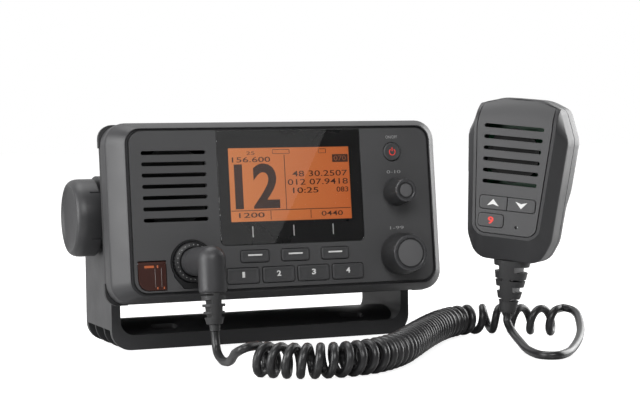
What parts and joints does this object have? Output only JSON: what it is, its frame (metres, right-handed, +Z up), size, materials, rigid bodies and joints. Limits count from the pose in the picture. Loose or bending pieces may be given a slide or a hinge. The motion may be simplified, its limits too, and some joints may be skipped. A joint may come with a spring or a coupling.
{
  "type": "vhf marine radio",
  "caption": "Fixed-mount marine radio with a backlit screen, round knobs and keys, tilting in a U-shaped stand, with a fist microphone on a curly cord.",
  "frame": {"origin": "middle of the stand's flat underside, on the surface it stands on, midway between its arms and midway between its front and rear edges", "axes": "+X to the right of someone facing the screen, the screen faces -Y, +Z up; the microphone stands at the front right, at +X and -Y"},
  "size_m": [0.2382, 0.2433, 0.1193],
  "materials": {
    "satin_dark_plastic": "satin dark grey, fine grain",
    "stand_plastic": "satin dark grey, fine grain",
    "handset_back_plastic": "satin dark grey",
    "panel_plastic": "fine matte grain",
    "display_glass": "clear over a dark surround",
    "screen": "lit screen with a warm colour gradient",
    "black_paper_cone": "matte",
    "silicone": "soft matte",
    "circuit_board": "solder-resist green",
    "tinned_steel": "tinned sheet",
    "stainless": "turned stainless steel",
    "cast_housing": "powder-coated die-cast aluminium",
    "seal_rubber": "matte black",
    "nickel_socket": "nickel plate",
    "black_plastic": "near-black satin",
    "brass_inserts": "turned",
    "red_translucent": "dark translucent red",
    "red_button": "red",
    "key_plastic": "soft satin dark grey with light print",
    "grip_rubber": "soft matte",
    "relief_rubber": "soft matte, slotted",
    "cord_jacket": "satin polyurethane jacket"
  },
  "bodies": {
    "stand": {"bracket": "stand_plastic", "cord_lead": "cord_jacket", "curly_cord": "cord_jacket", "cord_end": "cord_jacket", "handset_front_shell": "satin_dark_plastic", "handset_rear_shell": "handset_back_plastic", "handset_panel": "panel_plastic", "handset_relief": "relief_rubber", "handset_speaker": "black_paper_cone", "handset_microphone": "tinned_steel", "handset_board": "circuit_board", "handset_screws": "stainless", "handset_hanger": "stainless"},
    "radio": {"front_bezel": "satin_dark_plastic", "front_panel": "panel_plastic", "display_glass": "display_glass", "lcd_module": "screen", "speaker": "black_paper_cone", "keypad_mat": "silicone", "front_board": "circuit_board", "main_board": "circuit_board", "rf_shield": "tinned_steel", "rear_housing": "cast_housing", "housing_seal": "seal_rubber", "housing_screws": "stainless", "antenna_socket": "nickel_socket", "power_socket": "black_plastic", "pivot_inserts": "brass_inserts", "friction_pads": "seal_rubber", "mic_socket": "black_plastic", "volume_encoder": "tinned_steel", "select_encoder": "tinned_steel", "cover_pin": "stainless", "plug_elbow": "satin_dark_plastic", "plug_relief": "relief_rubber"},
    "left_washer": {"left_washer": "stainless"},
    "left_knob": {"left_knob": "satin_dark_plastic", "left_stud": "stainless"},
    "right_washer": {"right_washer": "stainless"},
    "right_knob": {"right_knob": "satin_dark_plastic", "right_stud": "stainless"},
    "volume_shaft": {"volume_shaft": "stainless"},
    "volume_knob": {"volume_knob": "satin_dark_plastic"},
    "select_shaft": {"select_shaft": "stainless"},
    "select_knob": {"select_knob": "satin_dark_plastic"},
    "power_button": {"power_button": "red_translucent"},
    "distress_cover": {"distress_cover": "red_translucent"},
    "distress_button": {"distress_button": "red_button"},
    "plug_ring": {"plug_ring": "black_plastic"},
    "talk_button": {"talk_button": "grip_rubber"},
    "up_key": {"up_key": "key_plastic"},
    "down_key": {"down_key": "key_plastic"},
    "quick_key": {"quick_key": "key_plastic"},
    "soft_key_1": {"soft_key_1": "key_plastic"},
    "soft_key_2": {"soft_key_2": "key_plastic"},
    "soft_key_3": {"soft_key_3": "key_plastic"},
    "function_key_1": {"function_key_1": "key_plastic"},
    "function_key_2": {"function_key_2": "key_plastic"},
    "function_key_3": {"function_key_3": "key_plastic"},
    "function_key_4": {"function_key_4": "key_plastic"}
  },
  "joints": [
    {"name": "radio_tilt", "type": "hinge", "parent": "stand", "child": "radio", "pos_m": [0, 0, 0.0635], "axis": [-1, 0, 0], "range_deg": [-3, 14], "deforming": ["cord_lead"]},
    {"name": "left_washer_slide", "type": "slide", "parent": "stand", "child": "left_washer", "axis": [-1, 0, 0], "range_m": [0, 0.0025]},
    {"name": "left_knob_turn", "type": "hinge", "parent": "left_washer", "child": "left_knob", "pos_m": [-0.0786, 0, 0.0635], "axis": [-1, 0, 0], "range_deg": [0, 720]},
    {"name": "right_washer_slide", "type": "slide", "parent": "stand", "child": "right_washer", "axis": [1, 0, 0], "range_m": [0, 0.0025]},
    {"name": "right_knob_turn", "type": "hinge", "parent": "right_washer", "child": "right_knob", "pos_m": [0.0786, 0, 0.0635], "axis": [1, 0, 0], "range_deg": [0, 720]},
    {"name": "volume_push", "type": "slide", "parent": "radio", "child": "volume_shaft", "axis": [0, 0.995, -0.1002], "range_m": [0, 0.0005], "stiffness_N_per_m": 4000},
    {"name": "volume_turn", "type": "hinge", "parent": "volume_shaft", "child": "volume_knob", "pos_m": [0.058, -0.05475, 0.07374], "axis": [0, 0.995, -0.1002], "continuous": true},
    {"name": "select_push", "type": "slide", "parent": "radio", "child": "select_shaft", "axis": [0, 0.995, -0.1002], "range_m": [0, 0.0005], "stiffness_N_per_m": 4000},
    {"name": "select_turn", "type": "hinge", "parent": "select_shaft", "child": "select_knob", "pos_m": [0.0584, -0.05781, 0.04339], "axis": [0, 0.995, -0.1002], "continuous": true},
    {"name": "power_button_press", "type": "slide", "parent": "radio", "child": "power_button", "axis": [0, 0.995, -0.1002], "range_m": [0, 0.0005], "stiffness_N_per_m": 3000},
    {"name": "soft_key_1_press", "type": "slide", "parent": "radio", "child": "soft_key_1", "axis": [0, 0.995, -0.1002], "range_m": [0, 0.0005], "stiffness_N_per_m": 3000},
    {"name": "soft_key_2_press", "type": "slide", "parent": "radio", "child": "soft_key_2", "axis": [0, 0.995, -0.1002], "range_m": [0, 0.0005], "stiffness_N_per_m": 3000},
    {"name": "soft_key_3_press", "type": "slide", "parent": "radio", "child": "soft_key_3", "axis": [0, 0.995, -0.1002], "range_m": [0, 0.0005], "stiffness_N_per_m": 3000},
    {"name": "function_key_1_press", "type": "slide", "parent": "radio", "child": "function_key_1", "axis": [0, 0.995, -0.1002], "range_m": [0, 0.0005], "stiffness_N_per_m": 3000},
    {"name": "function_key_2_press", "type": "slide", "parent": "radio", "child": "function_key_2", "axis": [0, 0.995, -0.1002], "range_m": [0, 0.0005], "stiffness_N_per_m": 3000},
    {"name": "function_key_3_press", "type": "slide", "parent": "radio", "child": "function_key_3", "axis": [0, 0.995, -0.1002], "range_m": [0, 0.0005], "stiffness_N_per_m": 3000},
    {"name": "function_key_4_press", "type": "slide", "parent": "radio", "child": "function_key_4", "axis": [0, 0.995, -0.1002], "range_m": [0, 0.0005], "stiffness_N_per_m": 3000},
    {"name": "distress_button_press", "type": "slide", "parent": "radio", "child": "distress_button", "axis": [0, 0.995, -0.1002], "range_m": [0, 0.0005], "stiffness_N_per_m": 3000},
    {"name": "distress_cover_lift", "type": "hinge", "parent": "radio", "child": "distress_cover", "pos_m": [-0.0678, -0.05724, 0.04399], "axis": [-1, 0, 0], "range_deg": [0, 95], "stiffness_Nm_per_rad": 0.001},
    {"name": "plug_ring_turn", "type": "hinge", "parent": "radio", "child": "plug_ring", "pos_m": [-0.0482, -0.05777, 0.04379], "axis": [0, 0.995, -0.1002], "range_deg": [-90, 0]},
    {"name": "talk_press", "type": "slide", "parent": "stand", "child": "talk_button", "axis": [0.6655, -0.7391, -0.1045], "range_m": [0, 0.001], "stiffness_N_per_m": 3000},
    {"name": "up_key_press", "type": "slide", "parent": "stand", "child": "up_key", "axis": [0.7431, 0.6691, 0], "range_m": [0, 0.0005], "stiffness_N_per_m": 3000},
    {"name": "down_key_press", "type": "slide", "parent": "stand", "child": "down_key", "axis": [0.7431, 0.6691, 0], "range_m": [0, 0.0005], "stiffness_N_per_m": 3000},
    {"name": "quick_key_press", "type": "slide", "parent": "stand", "child": "quick_key", "axis": [0.7431, 0.6691, 0], "range_m": [0, 0.0005], "stiffness_N_per_m": 3000}
  ],
  "couplings": [
    {"joint": "left_knob_turn", "follows": "left_washer_slide", "rad_per_m": 5026.5},
    {"joint": "right_knob_turn", "follows": "right_washer_slide", "rad_per_m": 5026.5}
  ]
}
